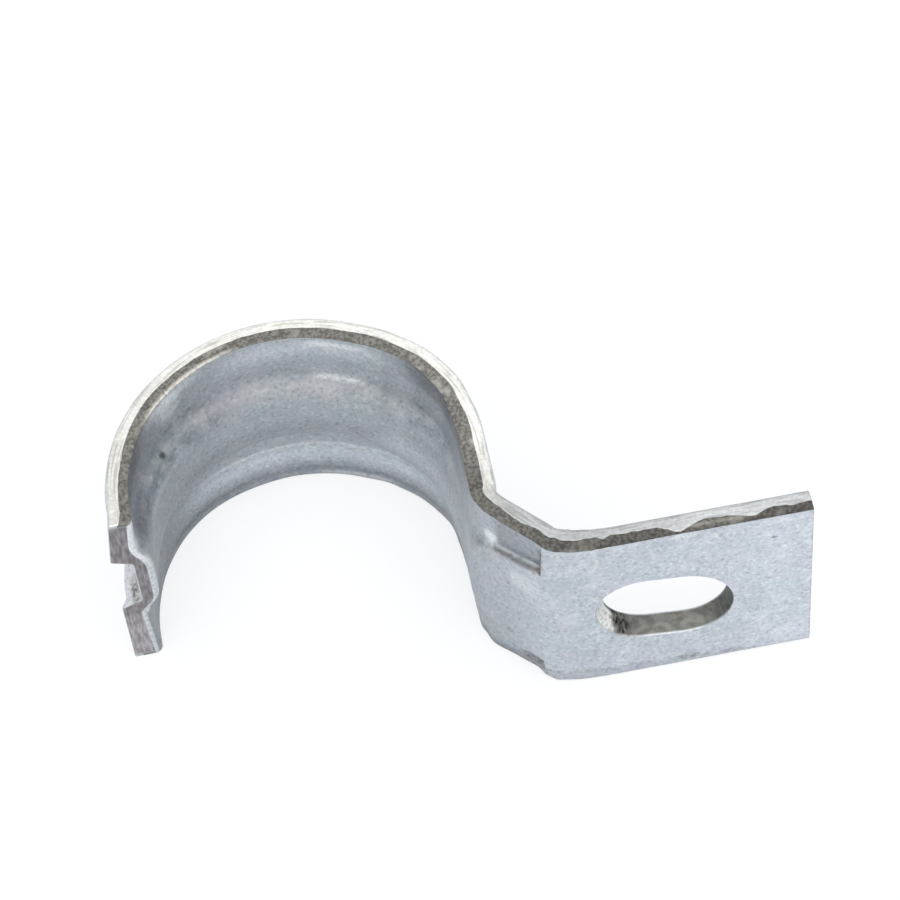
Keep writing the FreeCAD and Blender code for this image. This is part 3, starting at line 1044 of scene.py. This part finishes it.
def pale_for_seen_rays(tree, lit, white, camera_share, glossy_share):
    """Mix the lit shader with plain white for rays that see it directly or in a gloss."""
    path = tree.nodes.new("ShaderNodeLightPath")

    def scaled(ray, share):
        """1 for rays of a kind, scaled by a share."""
        node = tree.nodes.new("ShaderNodeMath")
        node.operation = "MULTIPLY"
        tree.links.new(path.outputs[ray], node.inputs[0])
        node.inputs[1].default_value = share
        return node.outputs[0]

    def larger(first, second):
        """The larger of two sockets."""
        node = tree.nodes.new("ShaderNodeMath")
        node.operation = "MAXIMUM"
        tree.links.new(first, node.inputs[0])
        tree.links.new(second, node.inputs[1])
        return node.outputs[0]

    seen = larger(scaled("Is Camera Ray", camera_share), scaled("Is Transmission Ray", camera_share))
    seen = larger(seen, scaled("Is Glossy Ray", glossy_share))
    mix = tree.nodes.new("ShaderNodeMixShader")
    tree.links.new(seen, mix.inputs[0])
    tree.links.new(lit, mix.inputs[1])
    tree.links.new(white, mix.inputs[2])
    return mix.outputs[0]


def floor():
    """The plain pale floor, on which the strap stands on its lower side edge."""
    bpy.ops.mesh.primitive_plane_add(size=FLOOR_SIZE, location=(0, 0, FLOOR_LEVEL))
    plane = bpy.context.object
    plane.name = "floor"
    material = bpy.data.materials.new("floor")
    material.use_nodes = True
    tree = material.node_tree
    tree.nodes.remove(tree.nodes["Principled BSDF"])
    paper = tree.nodes.new("ShaderNodeBsdfDiffuse")
    paper.inputs["Color"].default_value = PAPER
    glow = tree.nodes.new("ShaderNodeEmission")
    glow.inputs["Color"].default_value = WHITE
    glow.inputs["Strength"].default_value = PAPER_GLOW
    surface = pale_for_seen_rays(tree, paper.outputs[0], glow.outputs[0], PAPER_SEEN, PAPER_REFLECTED)
    tree.links.new(surface, tree.nodes["Material Output"].inputs["Surface"])
    plane.data.materials.append(material)


def world():
    """Soft light from all around, which is plain white where it is seen."""
    sky = bpy.data.worlds.new("studio")
    bpy.context.scene.world = sky
    sky.use_nodes = True
    tree = sky.node_tree
    soft = tree.nodes["Background"]
    soft.inputs["Color"].default_value = WHITE
    soft.inputs["Strength"].default_value = SKY_STRENGTH
    white = tree.nodes.new("ShaderNodeBackground")
    white.inputs["Color"].default_value = WHITE
    white.inputs["Strength"].default_value = 1.0
    surface = pale_for_seen_rays(tree, soft.outputs[0], white.outputs[0], 1.0, 1.0)
    tree.links.new(surface, tree.nodes["World Output"].inputs["Surface"])


def lamp():
    """One large soft lamp overhead."""
    data = bpy.data.lights.new("overhead", "AREA")
    data.size = LAMP_SIZE
    data.energy = LAMP_POWER
    item = bpy.data.objects.new("overhead", data)
    item.location = LAMP_PLACE
    item.rotation_euler = (Vector(LAMP_TARGET) - Vector(LAMP_PLACE)).to_track_quat("-Z", "Y").to_euler()
    bpy.context.scene.collection.objects.link(item)


def camera():
    """The camera looks down into the hoop from the wall's side, turned about its line of sight."""
    angles = (CAMERA_AZIMUTH, CAMERA_ELEVATION, CAMERA_ROLL)
    azimuth, elevation, roll = (math.radians(angle) for angle in angles)
    back = Vector((math.sin(azimuth) * math.cos(elevation),
                   -math.cos(azimuth) * math.cos(elevation), math.sin(elevation)))
    level = Vector((math.cos(azimuth), math.sin(azimuth), 0))
    upright = back.cross(level)
    right = math.cos(roll) * level + math.sin(roll) * upright
    up = math.cos(roll) * upright - math.sin(roll) * level
    data = bpy.data.cameras.new("camera")
    data.sensor_width = SENSOR_WIDTH
    data.lens = FOCAL_LENGTH
    data.clip_start = 0.01
    data.clip_end = 20
    item = bpy.data.objects.new("camera", data)
    turn = Matrix((right, up, back)).transposed().to_4x4()
    item.matrix_world = Matrix.Translation(Vector(CAMERA_TARGET) + back * CAMERA_DISTANCE) @ turn
    bpy.context.scene.collection.objects.link(item)
    bpy.context.scene.camera = item


floor()
world()
lamp()
camera()
bpy.context.scene.view_settings.view_transform = "Standard"
